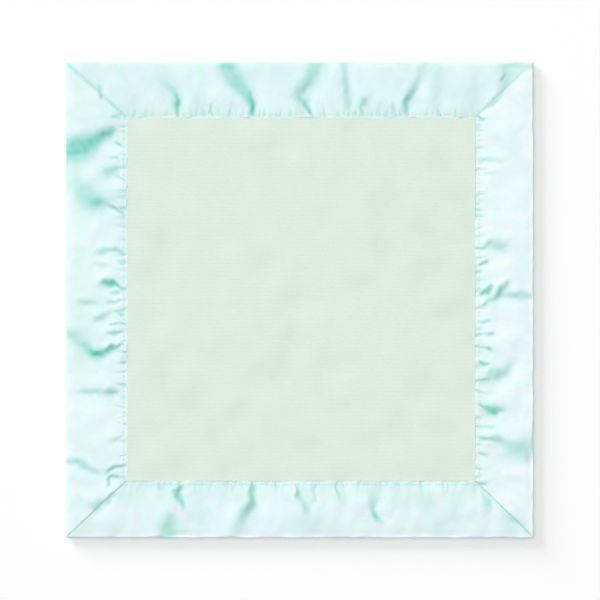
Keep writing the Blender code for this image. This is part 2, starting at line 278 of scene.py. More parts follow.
def repeated(thread, count, pitch):
    """The thread and its copies, one above the other, each copy with its own faces."""
    apply_modifier(thread, "ARRAY", count=count, use_relative_offset=False, use_constant_offset=True,
                   constant_offset_displace=(0, 0, pitch))
    return thread


# One loop in the side's frame: how far it has gone along the edge, its inset and its height, in mm.
OVERLOCK_LOOP = np.array(((0.0, 12.2, 3.62), (0.5, 10.4, 3.78), (1.0, 8.6, 3.74), (1.25, 7.72, 3.50),
                          (1.3, 7.50, 2.60), (1.35, 7.72, 1.55), (1.6, 8.6, 1.40), (2.1, 10.4, 1.40),
                          (2.6, 12.2, 1.56))) / 1000

SIDES = {
    # side: the corner where it begins, its turn in degrees, its length, and the sides before and after
    "bottom": ((-HALF_WIDTH, -HALF_LENGTH), 0, 2 * HALF_WIDTH, "left", "right"),
    "right": ((HALF_WIDTH, -HALF_LENGTH), 90, 2 * HALF_LENGTH, "bottom", "top"),
    "top": ((HALF_WIDTH, HALF_LENGTH), 180, 2 * HALF_WIDTH, "right", "left"),
    "left": ((-HALF_WIDTH, HALF_LENGTH), 270, 2 * HALF_LENGTH, "top", "bottom"),
}


def on_blanket(side, along, inset):
    """The x and y of a point so far along a side and so far in from its outer fold."""
    corner, turn = SIDES[side][:2]
    c, s = round(math.cos(math.radians(turn))), round(math.sin(math.radians(turn)))
    return corner[0] + along * c - inset * s, corner[1] + along * s + inset * c


# Spun polyester sewing thread: two plies twisted together, with a soft gloss. Such a thread has about
# a turn each 0.8 mm, and it is drawn so.
thread_finish, shader = new_material("Spun polyester thread")
place = add(thread_finish, "ShaderNodeTexCoord")["Object"]
twist = add(thread_finish, "ShaderNodeTexWave", {"Vector": place, "Scale": math.tau / 20 / 0.0008,
                                                 "Distortion": 0.4},
            wave_type="BANDS", bands_direction="DIAGONAL")["Fac"]
thread_colour = add(thread_finish, "ShaderNodeMix", {0: twist, 6: linear("#BCE3DB"), 7: linear("#D2EFEA")},
                    data_type="RGBA")[2]
ply_bump = add(thread_finish, "ShaderNodeBump", {"Strength": 0.3, "Distance": 0.0001,
                                                 "Height": twist})[0]
thread_finish.node_tree.links.new(thread_colour, shader.inputs["Base Color"])
thread_finish.node_tree.links.new(ply_bump, shader.inputs["Normal"])
shader.inputs["Roughness"].default_value = 0.55
shader.inputs["IOR"].default_value = 1.55
shader.inputs["Sheen Weight"].default_value = 0.1


def finish_thread(piece, node):
    """Gives a thread that has been bent to its course its finish, hides the part that it stands for, and
    hangs it on the root body.
    """
    face_outwards(piece)
    bpy.ops.object.shade_smooth_by_angle(angle=math.radians(60))
    piece.data.materials.append(thread_finish)
    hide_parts(node)
    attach(piece, "root")


def on_loop(station, column):
    """A measure of the overlock loop at a station, which counts its points from 0."""
    return np.interp(np.clip(station, 0, LOOP_RINGS), np.arange(LOOP_RINGS + 1), OVERLOCK_LOOP[:, column])


loops = []
for side, (_, _, length, _, _) in SIDES.items():
    count = int((length - 2 * RAW_EDGE_INSET - 2 * LOOPS_START) / LOOP_PITCH)
    loop = standing_thread(f"overlock_{side}", LOOP_RADIUS, STRAIGHT_LOOP, LOOP_RINGS, 5)
    loop = repeated(loop, count, STRAIGHT_PITCH)
    across, up, height = corners(loop)
    number = np.floor(height / STRAIGHT_PITCH + 0.25)
    station = np.clip((height - number * STRAIGHT_PITCH) / STRAIGHT_LOOP, 0, 1) * LOOP_RINGS
    gone, inset, level = (on_loop(station, column) for column in range(3))
    run = on_loop(station + 0.5, 1) - on_loop(station - 0.5, 1)
    climb = on_loop(station + 0.5, 2) - on_loop(station - 0.5, 2)
    size = np.hypot(run, climb)
    start = (length - count * LOOP_PITCH) / 2
    x, y = on_blanket(side, start + number * LOOP_PITCH + gone + across, inset - up * climb / size)
    move_corners(loop, x, y, level + up * run / size)
    loops.append(loop)
bpy.ops.object.select_all(action="DESELECT")
for loop in loops:
    loop.select_set(True)
bpy.context.view_layer.objects.active = loops[0]
bpy.ops.object.join()
overlock = loops[0]
overlock.name = overlock.data.name = "overlock_loops"
finish_thread(overlock, "overlock_thread")


# Satin binding
#
# Four strips of woven polyester satin, each folded over the blanket's edge with both hems turned
# under. One line of topstitching through all the layers gathers each strip into puckers, and the
# strips' mitred ends meet at the corners.

STITCH_INSET = 0.003     # from the satin's inner edge
HEM_TURN = 0.009
SATIN = 0.0003           # thickness of the cloth
HEM_DROP = 0.00065       # from the satin's face to its turned hem
HALF_MITRE_GAP = 0.00006
LIP = 0.0009             # the rounded lip's width, and a step of the grid beside it
FOLD_LEVEL = 0.0018      # height of the outer fold's outermost line
SHOULDER = 0.0046        # height where the outer fold goes over into the puffed band
CROWN = 0.0052           # height of that band
CROWN_SHARE = 0.45       # where it is highest, as a share of the satin's width
SEAM_LEVEL = 0.0050
STRIP_COLUMNS = 400
FROM_LIGHT = (0.65, -0.75)

# The folds that show, each as a line of points: x, y and half width in mm, then how strong it is.
FOLDS = (
    # top side
    ((-92, 138.7, 0.9, 0.46), (-92, 146.9, 2.4, 0.85), (-93.5, 154.4, 2.6, 0.41), (-98.7, 160.4, 2.2, 0.26),
     (-104.7, 165.6, 2.2, 0.1)),
    ((-66.9, 140.9, 0.9, 0.42), (-66.7, 145.4, 1.1, 0.42)),
    ((-35.6, 139.5, 1.6, 0.97), (-35.9, 147, 2.8, 0.85), (-39.5, 153.8, 4.2, 0.64), (-46.6, 161, 5.4, 0.66),
     (-51, 169, 5.6, 0.52), (-53.8, 176.9, 5.8, 0.77)),
    ((7.7, 140.2, 1.3, 0.77), (3.9, 146.9, 2.6, 0.63), (-1.3, 153.6, 3.5, 0.39), (4.7, 161.9, 3.9, 0.44),
     (9.9, 170.1, 4.3, 0.42), (12.2, 176.9, 4.8, 0.43)),
    ((35.8, 146.1, 2.2, 0.21), (34.5, 158.1, 2.7, 0.34), (33.2, 170.9, 2.7, 0.25),
     (33.2, 177.6, 2.7, 0.34)),
    ((48.2, 149.1, 2.4, 0.33), (45.2, 144.6, 1.2, 0.26), (47, 139.4, 1, 0.38)),
    ((58.6, 140.9, 1.1, 0.21), (58.6, 144.6, 1.5, 0.08)),
    ((69.5, 140.9, 1.1, 0.34), (69.5, 146.1, 1.3, 0.26)),
    ((74.4, 138.7, 0.7, 0.34), (74.4, 141.7, 0.9, 0.17)),
    ((78.9, 141.7, 2.2, 0.45), (79.6, 149.1, 2.4, 0.72), (84.9, 158.1, 2.5, 0.41), (89.4, 167.9, 3, 0.2),
     (92.4, 176.1, 3.4, 0.14)),
    ((102.9, 146.1, 4.5, 0.04), (103.6, 172.4, 5.2, 0.09)),
    ((139, 143.5, 1, 0.28), (146, 149.5, 1.8, 0.32), (150.5, 156, 2.2, 0.16), (153.5, 164, 4.1, 0.25),
     (154, 171, 5.2, 0.22), (155, 177, 5.5, 0.21)),
    ((150.5, 165.5, 1, 0.43), (152.8, 169, 1.1, 0.43)),
    ((159, 176, 2.9, 0.35), (166, 175, 2.6, 0.2), (174, 174.5, 1.4, 0.21)),
    ((-149, 152.1, 1.3, 0.62), (-149.7, 160.4, 1.3, 0.32)),
    # right side
    ((133.6, 137.2, 1.2, 0.74), (137.3, 135.7, 1.3, 0.58)),
    ((135.8, 104.9, 1.8, 0.36), (142.6, 104.9, 1.9, 0.24), (149.3, 104.9, 1.8, 0.11)),
    ((139.6, 94.8, 1.1, 0.16), (145.6, 94.8, 1.1, 0.1)),
    ((138.1, 40.5, 2.6, 0.22), (143.3, 42.7, 3.5, 0.35), (150.1, 40.5, 4.4, 0.39), (153.1, 39, 2.6, 0.15)),
    ((135.8, 27, 1.2, 0.66), (138.8, 28.5, 1.5, 0.55)),
    ((135.8, 5.2, 1.5, 1.05), (140.3, 6.7, 2, 0.9), (143.3, 9.7, 1.6, 0.58)),
    ((141.8, 0.7, 1.8, 0.41), (146.3, 2.6, 2.4, 0.48), (149.3, 6.7, 2.5, 0.75), (153.8, 11.2, 2.5, 0.45)),
    ((147.8, 3.7, 1.8, 0.23), (156.8, 4.1, 2.9, 0.38), (165.1, 3.4, 2.9, 0.36), (174.1, 3, 2.6, 0.15)),
    ((135.8, -3.7, 1.1, 0.33), (139.6, -3, 1.3, 0.31)),
    ((135.8, -16.9, 1.1, 0.39), (141.1, -15.7, 1.2, 0.3)),
    ((138.8, -25.5, 1.4, 0.25), (144.1, -25.1, 1.6, 0.51)),
    ((141.1, -36, 1.6, 0.65), (143.3, -37.8, 1.5, 0.44)),
    ((135.8, -47.2, 1.4, 0.83), (140.3, -48, 1.3, 0.55)),
    ((141.8, -55.5, 2.5, 0.2), (146.3, -55.8, 4.1, 0.42), (150.8, -54.7, 4.2, 0.38), (155, -50, 3.6, 0.23),
     (158, -45, 3.4, 0.12)),
    ((135.8, -60, 1.9, 0.35), (140.3, -60, 1.9, 0.4)),
    ((135.1, -78.3, 1.1, 0.67), (138.8, -79.8, 1.4, 0.6), (143.3, -82.4, 3.2, 0.84),
     (148.6, -82.1, 2.8, 0.45), (153.8, -81.7, 2.5, 0.04)),
    ((138.8, -94.8, 1.2, 0.2), (144.8, -95.2, 1.2, 0.27)),
    ((135.8, -103.1, 1.5, 0.75), (139.6, -103.1, 1.5, 0.38), (144.8, -103.4, 1.8, 0.36),
     (150.1, -104.6, 2.5, 0.33), (156.8, -109.4, 4.8, 0.24), (165.1, -112.4, 7.3, 0.39),
     (174.1, -112.7, 8.5, 0.3)),
    ((135.8, -114.7, 1, 0.68), (139.6, -115.4, 1, 0.2)),
    ((135.8, -137.2, 1.5, 0.27), (140.3, -136.4, 1.5, 0.05)),
    # bottom side
    ((-89.7, -137.2, 1.1, 0.44), (-89.7, -140.2, 2.2, 0.66), (-92.2, -144.6, 2.5, 0.73),
     (-89.7, -149.1, 2.2, 0.76), (-87.1, -153.6, 1.8, 0.57)),
    ((-97.2, -164.9, 4.5, 0.24), (-98.7, -171.6, 6, 0.38), (-99.5, -177.6, 6.4, 0.33)),
    ((-36, -136.4, 0.8, 0.73), (-36.5, -144.6, 2.1, 0.57), (-36, -152.1, 2.8, 0.54),
     (-41.8, -160.4, 3.5, 0.42), (-45.9, -170.9, 4.6, 0.19), (-47, -176.9, 5.1, 0.13)),
    ((-2.1, -139.4, 1.1, 0.41), (-1.7, -146.1, 1.6, 0.57), (1.7, -150.6, 1.6, 0.28),
     (4.7, -157.4, 2.2, 0.26)),
    ((10.7, -138.7, 1, 0.26), (10.7, -149.9, 1.3, 0.17)),
    ((27.2, -136.4, 0.9, 0.31), (27.5, -142.4, 1.1, 0.42), (30.9, -148.4, 3, 0.13)),
    ((55.6, -146.1, 4.5, 0.13), (53.8, -157.4, 2.2, 0.38), (56.8, -161.5, 1.9, 0.72),
     (61.3, -166.4, 1.9, 0.28)),
    ((138.1, -146.9, 1.8, 0.3), (140.7, -151.4, 2.6, 0.34), (140.3, -155.9, 2.6, 0.1)),
    ((129.5, -137.9, 1.7, 0.21), (129.5, -142.4, 1.7, 0.1)),
    ((-105.5, -137.2, 0.9, 0.3), (-105.5, -141.7, 1.1, 0.17)),
    ((-96.5, -135.7, 0.9, 0.17), (-96.5, -139.4, 0.9, 0.17)),
    ((156.1, -158.9, 1.1, 0.14), (162.1, -164.9, 2.1, 0.41), (167.3, -170.1, 1.5, 0.13)),
    ((-140, -145.4, 1.4, 0.42), (-146, -150.6, 2.4, 0.22), (-152, -156.6, 2.4, 0.41)),
    # left side
    ((-134.7, 135.7, 0.9, 0.4), (-139.2, 137.2, 1.1, 0.54)),
    ((-140, 127.4, 2.3, 0.51), (-143.7, 125.2, 3.2, 0.95), (-148.4, 122.9, 4.1, 0.79),
     (-157.2, 116.9, 6.2, 0.9), (-164.7, 113.9, 7.8, 0.93), (-174.4, 112.4, 8.4, 0.91)),
    ((-134, 116.2, 0.8, 0.72), (-137.7, 118, 1, 0.38)),
    ((-136.2, 106.8, 1, 0.3), (-141.5, 106.4, 1.2, 0.24)),
    ((-137, 98.9, 1.9, 0.32), (-143, 95.9, 4.1, 0.43), (-147.5, 95.2, 3, 0.15)),
    ((-133.2, 90.7, 0.8, 0.48), (-138.5, 92.9, 1.8, 0.2)),
    ((-133.2, 64.5, 0.8, 0.65), (-137.7, 68.2, 1.2, 0.63), (-142.2, 70.8, 1.5, 0.5),
     (-147.5, 73.4, 3.7, 0.5), (-153.5, 73.4, 5.6, 0.75), (-158.7, 77.9, 6, 0.44),
     (-165.4, 86.9, 6.7, 0.28), (-172.9, 92.9, 6.7, 0.2)),
    ((-133.2, 35.6, 1.4, 0.54), (-137, 37.5, 1.7, 0.45), (-141.5, 38.2, 1.7, 0.31),
     (-148.2, 36.3, 2.3, 0.32), (-152, 36, 1.6, 0.1)),
    ((-146, 26.2, 1.9, 0.19), (-151.2, 27, 1.9, 0.15)),
    ((-132.5, 29.2, 0.7, 0.06), (-135.5, 29.2, 0.7, 0.17)),
    ((-133.2, 10.1, 1, 0.5), (-138.5, 12, 2.1, 1.01), (-142.2, 13.1, 3, 1.04), (-147.5, 12.7, 2.1, 0.5)),
    ((-135.5, 5.6, 1.3, 0.61), (-140.7, 5.6, 1.4, 0.54)),
    ((-152, -2.2, 1.6, 0.12), (-158.7, -1.5, 2.1, 0.29), (-164.7, -1.5, 1.9, 0.18)),
    ((-134.7, -0.4, 1, 0.36), (-142.2, -1.5, 1.3, 0.33)),
    ((-133.2, -10.5, 1.1, 0.66), (-137.7, -8.2, 1, 0.36)),
    ((-142.2, -8.6, 1.7, 0.15), (-147.5, -12.7, 2.7, 0.38), (-151.2, -14.2, 2.5, 0.29)),
    ((-137.7, -18, 1, 0.4), (-141.5, -17.6, 1, 0.34)),
    ((-134, -23.6, 1, 0.41), (-140, -24.7, 1.5, 0.44), (-143.7, -24.7, 1.2, 0.2)),
    ((-132.5, -33, 0.8, 0.77), (-137, -34.5, 1.6, 0.72), (-140.7, -36, 2.3, 1.05), (-146.7, -38.2, 2.7, 0.62),
     (-151.6, -40.8, 3.4, 1.05), (-157.2, -37.5, 3.3, 0.7), (-163.2, -31.5, 3.6, 0.35),
     (-169.2, -26.6, 4.1, 0.28), (-173.7, -25.5, 3.6, 0.33)),
    ((-131.7, -48, 0.6, 0.2), (-135.5, -48, 0.6, 0.15)),
    ((-136.2, -68.6, 1, 0.3), (-141.8, -68.6, 2.7, 0.46), (-146.7, -69, 1.7, 0.13),
     (-152, -68.2, 2.3, 0.25), (-159.5, -68.2, 2.7, 0.29), (-163.9, -68.2, 1.7, 0.17)),
    ((-131.7, -87.3, 0.6, 0.2), (-134.7, -87.3, 0.6, 0.16)),
    ((-132.5, -101.2, 0.7, 0.29), (-137.7, -103.8, 2.2, 0.18), (-142.2, -104.2, 2.2, 0.1)),
    ((-132.5, -124.4, 0.9, 0.6), (-137, -124.4, 1.1, 0.64), (-141.8, -125.9, 1.2, 0.49),
     (-144.5, -128.9, 1.2, 0.2)),
    ((-137, -131.9, 1.2, 0.5), (-142.2, -132.3, 1.2, 0.66), (-143.3, -137.9, 1.2, 0.69)),
    ((-151.2, -128.9, 1.8, 0.19), (-157.2, -126.3, 2.2, 0.36), (-164.7, -121.4, 2.6, 0.47),
     (-172.9, -120.3, 2.8, 0.3)),
    ((-146.7, -147.6, 3, 0.04), (-154.2, -152.9, 3, 0.23)),
)


# How much painted sheen the satin gets along each side, then patches with more or less painted sheen:
# x, y, half width and half height in mm, and how much.
SIDE_PAINTED_SHEEN = {"bottom": 0.28, "right": 0.78, "top": 0.12, "left": 0.42}
PAINTED_SHEEN_PATCHES = (
    (-55, 151, 14, 9, 0.40), (-24, 156, 11, 15, 0.30), (12, 152, 8, 8, 0.25), (32, 166, 10, 8, 0.25),
    (108, 156, 9, 12, 0.25), (-120, 156, 14, 10, 0.22), (-112, -158, 26, 9, 0.34), (-55, -159, 10, 10, 0.38),
    (-19, -163, 12, 12, 0.45), (40, -164, 15, 11, 0.50), (100, -154, 15, 10, 0.30), (113, -168, 14, 6, 0.22),
    (141, -58, 8, 40, -0.34), (148, -101, 12, 14, -0.35), (-160, 135, 10, 14, -0.15),
    (-144, 133, 9, 9, -0.30), (-160, 73, 12, 14, -0.45), (-160, -28, 12, 22, -0.30),
    (-150, -92, 18, 22, 0.32), (-150, 44, 14, 10, 0.25), (138, -167, 10, 7, 0.30), (70, -167, 12, 8, 0.35),
    (98, 148, 14, 8, 0.19), (-122, -150, 16, 8, -0.15), (98, -150, 11, 8, -0.40), (128, -148, 10, 8, 0.40),
    (-162, -132, 10, 10, -0.20), (141, 4, 8, 20, -0.40), (162, 44, 8, 14, 0.20), (124, 158, 8, 14, -0.15),
)

# The section: how wide the outer fold rolls over where it is tight and how much wider where it is
# loose, then the depth and half width of the stitches' groove and the lip's tuck, and what the stitches
# lift underneath.
TIGHT_ROLL, LOOSE_ROLL_ADDS = 0.0012, 0.0032
LOOSENESS_CHANGES_OVER = 0.16
GROOVE_DEPTH, GROOVE_WIDTH = 0.00009, 0.0008
TUCK_DEPTH, TUCK_WIDTH = 0.00006, 0.002
UNDER_ROLL = 0.0026
UNDER_LIFT, UNDER_LIFT_STARTS, UNDER_LIFT_RISES_OVER = 0.0005, 0.0055, 0.003
UNDER_GROOVE_DEPTH, UNDER_GROOVE_WIDTH = 0.0004, 0.001


def looseness(x, y):
    """How loosely the outer fold rolls over: 1 along the top and left sides, 0 along the other two."""
    return smooth_step(0.5 + (y - x) / LOOSENESS_CHANGES_OVER)


def front_section(satin, inset, loose):
    """Height of the satin's face on top, before it puckers: outer fold, puffed band, stitched lip."""
    crown_inset = CROWN_SHARE * satin
    power = 5 - 2.6 * loose
    edge = np.clip(1 - inset / (TIGHT_ROLL + LOOSE_ROLL_ADDS * loose), 0, 1)
    roll = (1 - edge ** power) ** (1 / power)
    swell = (np.sin(np.clip(inset / crown_inset, 0, 1) * math.pi / 2) + smooth_step(inset / crown_inset)) / 2
    outer = FOLD_LEVEL + (SHOULDER - FOLD_LEVEL) * roll + (CROWN - SHOULDER) * swell
    share = np.clip((inset - crown_inset) / (satin - STITCH_INSET - crown_inset), 0, 1)
    inner = SEAM_LEVEL + (CROWN - SEAM_LEVEL) * np.cos(share * math.pi / 2) ** 2
    from_edge = satin - inset
    groove = GROOVE_DEPTH * np.exp(-((from_edge - STITCH_INSET) / GROOVE_WIDTH) ** 2)
    tuck = TUCK_DEPTH * smooth_step(1 - from_edge / TUCK_WIDTH)
    return np.where(inset < crown_inset, outer, inner) - groove - tuck


def back_section(satin, inset):
    """Height of the satin's face underneath, which the stitches lift off the ground."""
    out = np.clip(1 - inset / UNDER_ROLL, 0, 1)
    roll = FOLD_LEVEL * (1 - np.sqrt(1 - out * out))
    from_edge = satin - inset
    seam = UNDER_LIFT * smooth_step((UNDER_LIFT_STARTS - from_edge) / UNDER_LIFT_RISES_OVER)
    return roll + seam + UNDER_GROOVE_DEPTH * np.exp(-((from_edge - STITCH_INSET) / UNDER_GROOVE_WIDTH) ** 2)


def curve_through(points):
    """A smooth curve through these points, four steps from each one to the next."""
    ends = np.vstack((2 * points[0] - points[1], points, 2 * points[-1] - points[-2]))
    curve = [b + t / 2 * (c - a + t * (2 * a - 5 * b + 4 * c - d + t * (3 * b - a - 3 * c + d)))
             for a, b, c, d in zip(ends, ends[1:], ends[2:], ends[3:]) for t in (0, 0.25, 0.5, 0.75)]
    return np.array((*curve, points[-1]))


# The folds' lines waver by this much, over waves of this length. No fold is steeper than the slope, or
# drops by much more than the height.
FOLD_WAVERS, FOLD_WAVE = 0.0004, 0.009
STEEPEST_SLOPE, FOLD_HEIGHT = 0.52, 0.0019


def beside_fold(line, away, px, py):
    """Where points lie beside a fold's line.

    For each point: the distance in half widths of the fold, the signed distance in metres to its far
    side, and the half width and the strength that the fold has there.
    """
    nearest = np.full_like(px, np.inf)
    signed, width, strength = np.zeros_like(px), np.ones_like(px), np.zeros_like(px)
    for start, end in zip(line, line[1:]):
        step = end[:2] - start[:2]
        square = np.array((-step[1], step[0])) / np.hypot(*step)
        if square @ away < 0:
            square = -square
        share = np.clip(((px - start[0]) * step[0] + (py - start[1]) * step[1]) / (step @ step), 0, 1)
        off_x, off_y = px - start[0] - share * step[0], py - start[1] - share * step[1]
        half = start[2] + share * (end[2] - start[2])
        distance = np.hypot(off_x, off_y) / half
        closer = distance < nearest
        nearest = np.where(closer, distance, nearest)
        signed = np.where(closer, off_x * square[0] + off_y * square[1], signed)
        width = np.where(closer, half, width)
        strength = np.where(closer, np.maximum(start[3] + share * (end[3] - start[3]), 0), strength)
    return nearest, signed, width, strength


def fold_relief(x, y):
    """How far the folds lift the cloth, and how much painted shade a point gets along the folds, from 0 to 1.

    A fold stands proud towards the light and falls away on its far side, down the line that shows.
    """
    relief, painted_shade = np.zeros_like(x), np.zeros_like(x)
    wavy_x = x + FOLD_WAVERS * ripples(x, y, FOLD_WAVE, 31)
    wavy_y = y + FOLD_WAVERS * ripples(x, y, FOLD_WAVE, 32)
    for fold in FOLDS:
        line = curve_through(np.array(fold) * (0.001, 0.001, 0.001, 1))
        run = line[-1, :2] - line[0, :2]
        away = np.array((-run[1], run[0]))
        if away @ FROM_LIGHT < 0:
            away = -away
        reach = 5 * line[:, 2].max()
        low, high = line[:, :2].min(axis=0) - reach, line[:, :2].max(axis=0) + reach
        near = (x > low[0]) & (x < high[0]) & (y > low[1]) & (y < high[1])
        if not near.any():
            continue
        nearest, signed, width, strength = beside_fold(line, away, wavy_x[near], wavy_y[near])
        slope = np.minimum(STEEPEST_SLOPE, FOLD_HEIGHT / width) * strength ** 0.7
        relief[near] -= slope * signed * np.exp(-0.28 * nearest ** 2) * (0.9 + 0.2 * np.tanh(signed / width))
        # Painted shade: strongest along each fold's line and fading to each side, with a little random
        # variation.
        painted_shade[near] = np.maximum(painted_shade[near], strength * np.exp(-0.65 * nearest ** 2.5))
    return relief, painted_shade * (0.97 + 0.09 * ripples(x, y, 0.006, 33))


# How deep the topstitching draws the satin up along each side, in metres. Between the large gathers
# there are small ones. Their widths and reaches lie between these.
DRAWN_UP = {"bottom": 0.00035, "right": 0.00060, "top": 0.00045, "left": 0.00062}
GATHERS_APART = 0.0072
SMALL_GATHERS_APART, SMALL_GATHER_DEPTH = 0.0031, 0.00014
FIRST_GATHER = 0.004
GATHER_WIDTHS = (0.0007, 0.0015)
GATHER_REACHES = (0.0022, 0.0075)


def gathers(side, along, outwards):
    """Puckers that the topstitching draws up, from its line outwards and over the lip, in metres."""
    chance = np.random.default_rng(list(SIDES).index(side) + 40)
    relief = np.zeros_like(along)
    for spacing, deepest in ((GATHERS_APART, DRAWN_UP[side]), (SMALL_GATHERS_APART, SMALL_GATHER_DEPTH)):
        least = (0.1 * deepest, GATHER_WIDTHS[0], GATHER_REACHES[0])
        most = (deepest, GATHER_WIDTHS[1], GATHER_REACHES[1])
        place = FIRST_GATHER
        while place < SIDES[side][2]:
            place += spacing * chance.uniform(0.5, 1.5)
            depth, width, reach = chance.uniform(least, most)
            off = along - place - chance.uniform(-0.3, 0.3) * outwards
            near = np.abs(off) < 3 * width
            fade = np.exp(-(np.maximum(outwards[near], 0) / reach) ** 2)
            relief[near] -= depth * np.exp(-(off[near] / width) ** 2) * fade
    return relief


# Each mitre at the corner where a side begins: the half width of its dip in mm, and how deep it is.
MITRE_DIPS = {"bottom": (0.55, 0.9), "right": (0.5, 0.9), "top": (0.9, 0.4), "left": (1.4, 0.8)}


def mitre_dip(side, along, inset, spread):
    """How deep in the dip of a mitre a point lies, from 0 to 1."""
    _, _, length, before, after = SIDES[side]
    satin = SATIN_SHOWS[side]
    first, last = SATIN_SHOWS[before], SATIN_SHOWS[after]
    at_start = (along * satin - inset * first) / math.hypot(satin, first)
    at_end = ((length - along) * satin - inset * last) / math.hypot(satin, last)
    dips = [deep * np.exp(-(distance * 1000 / wide / spread) ** 2) for distance, (wide, deep) in
            ((at_start, MITRE_DIPS[side]), (at_end, MITRE_DIPS[after]))]
    return np.maximum(*dips)


# The stitches hold the folds down this far to each side, and a gather this deep gets its full painted
# shade. Then how deep the mitres are drawn in. Where a fold would press the satin into the plies, its
# face comes softly to rest: at this height at the outer fold, and so much higher from REST_CLIMBS_OVER
# inwards.
HELD_BY_STITCHES = 0.0022
FULL_GATHER = 0.0007
MITRE_DEPTH, UNDER_MITRE_DEPTH = 0.0004, 0.0006
REST_AT_FOLD, REST_CLIMB, REST_INSIDE, REST_CLIMBS_OVER = 0.0026, 0.0017, 0.0043, 0.006
SOFT_REST = 0.0004
UNDER_MOST_LIFT = 0.0007


def front_face(side, along, inset):
    """Height of the finished face on top, and the painted shade in its folds, gathers and mitre dip."""
    satin = SATIN_SHOWS[side]
    x, y = on_blanket(side, along, inset)
    outwards = satin - STITCH_INSET - inset
    relief, painted_shade = fold_relief(x, y)
    relief *= 1 - 0.5 * np.exp(-(outwards / HELD_BY_STITCHES) ** 2)
    drawn = gathers(side, along, outwards)
    # A deep gather gets painted shade too.
    painted_shade = np.maximum(painted_shade, 0.45 * smooth_step(-drawn / FULL_GATHER))
    relief += drawn
    relief += 0.00012 * ripples(x, y, 0.032, 21) + 0.00003 * ripples(x, y, 0.010, 22)
    _, _, length, before, after = SIDES[side]
    from_mitre = np.minimum(along - inset * SATIN_SHOWS[before] / satin,
                            length - along - inset * SATIN_SHOWS[after] / satin)
    relief += 0.00010 * ripples(along, 0.5 * inset, 0.018, 25) * smooth_step(from_mitre / 0.015)
    seam = mitre_dip(side, along, inset, 1.0)
    relief = relief * smooth_step(inset / 0.0018) - MITRE_DEPTH * seam * smooth_step(inset / 0.002)
    smooth = front_section(satin, inset, looseness(x, y))
    height = smooth + relief
    climbing = REST_AT_FOLD + REST_CLIMB * inset / REST_CLIMBS_OVER
    least = np.minimum(np.where(inset < REST_CLIMBS_OVER, climbing, REST_INSIDE), smooth - 0.0003)
    spare = (height - least) / SOFT_REST
    height = np.where(spare > 6, height, least + SOFT_REST * np.log1p(np.exp(np.minimum(spare, 6))))
    # The mitre's dip gets painted shade as well.
    return height, np.maximum(painted_shade, 0.45 * seam)


def back_face(side, along, inset):
    """Height of the finished face underneath: the same folds lift it, only half as far."""
    satin = SATIN_SHOWS[side]
    x, y = on_blanket(side, along, inset)
    outwards = satin - STITCH_INSET - inset
    relief, painted_shade = fold_relief(x, y)
    relief = 0.5 * relief - gathers(side, along, outwards) + 0.00015 * ripples(x, y, 0.03, 23)
    seam = mitre_dip(side, along, inset, 1.6)
    lift = (relief + np.sqrt(relief ** 2 + 0.00012 ** 2)) / 2 + UNDER_MITRE_DEPTH * seam
    lift = UNDER_MOST_LIFT * (1 - np.exp(-lift / UNDER_MOST_LIFT))
    height = back_section(satin, inset) + lift * smooth_step(inset / 0.004)
    # Painted shade underneath: weaker along the folds, stronger in the mitre's dip.
    return height, np.maximum(0.6 * painted_shade, 0.9 * seam)


def section_rows(satin):
    """The strip in section, from its back hem round the outer fold to its front hem.

    Each row holds its face, its inset, the inset at which that face is read, and its height off it.
    """
    hem = [satin - step for step in (HEM_TURN, 0.0065, 0.0042, 0.003, 0.0018, 0.0008)]
    fold, half = satin - HEM_DROP / 2, HEM_DROP / 2
    turns = [math.radians(turn) for turn in (90, 45, 0, -45, -90)]
    back = (*np.arange(satin - LIP, satin - 0.011, -LIP), *np.linspace(satin - 0.012, 0.005, 15),
            0.0037, 0.0025, 0.0015, 0.0007, 0.0002)
    front = (0.0, 0.00004, 0.00015, 0.00035, 0.0006, 0.001, 0.0016, 0.0025, 0.0036,
             *np.linspace(0.005, satin - 0.013, 25), *np.arange(satin - 0.012, satin - 0.0006, 0.0006))
    return [*(("back", inset, inset, HEM_DROP) for inset in hem),
            *(("back", fold + half * math.cos(turn), fold, half * (1 + math.sin(turn))) for turn in turns),
            *(("back", inset, inset, 0.0) for inset in back),
            *(("front", inset, inset, 0.0) for inset in front),
            *(("front", fold + half * math.cos(turn), fold, half * (math.sin(turn) - 1)) for turn in turns),
            *(("front", inset, inset, -HEM_DROP) for inset in reversed(hem))]


def unrolled_section(satin, rows):
    """How far round the section each row lies, and the steps between the rows, in metres."""
    levels = [off + (front_section(satin, inset, 0.5) if face == "front" else back_section(satin, inset))
              for face, inset, _, off in rows]
    steps = np.hypot(np.diff([row[1] for row in rows]), np.diff(levels))
    return np.concatenate(([0.0], np.cumsum(steps))), steps


def lay_out(cloth, along, across):
    """Keeps the strip's cloth as it lies when it is laid out flat, in metres, as its UV map."""
    corner_of = np.empty(len(cloth.data.loops), dtype=int)
    cloth.data.loops.foreach_get("vertex_index", corner_of)
    flat = np.stack((along, across), axis=1)[corner_of]
    cloth.data.uv_layers.active.name = "unrolled"
    cloth.data.uv_layers["unrolled"].uv.foreach_set("vector", flat.ravel())


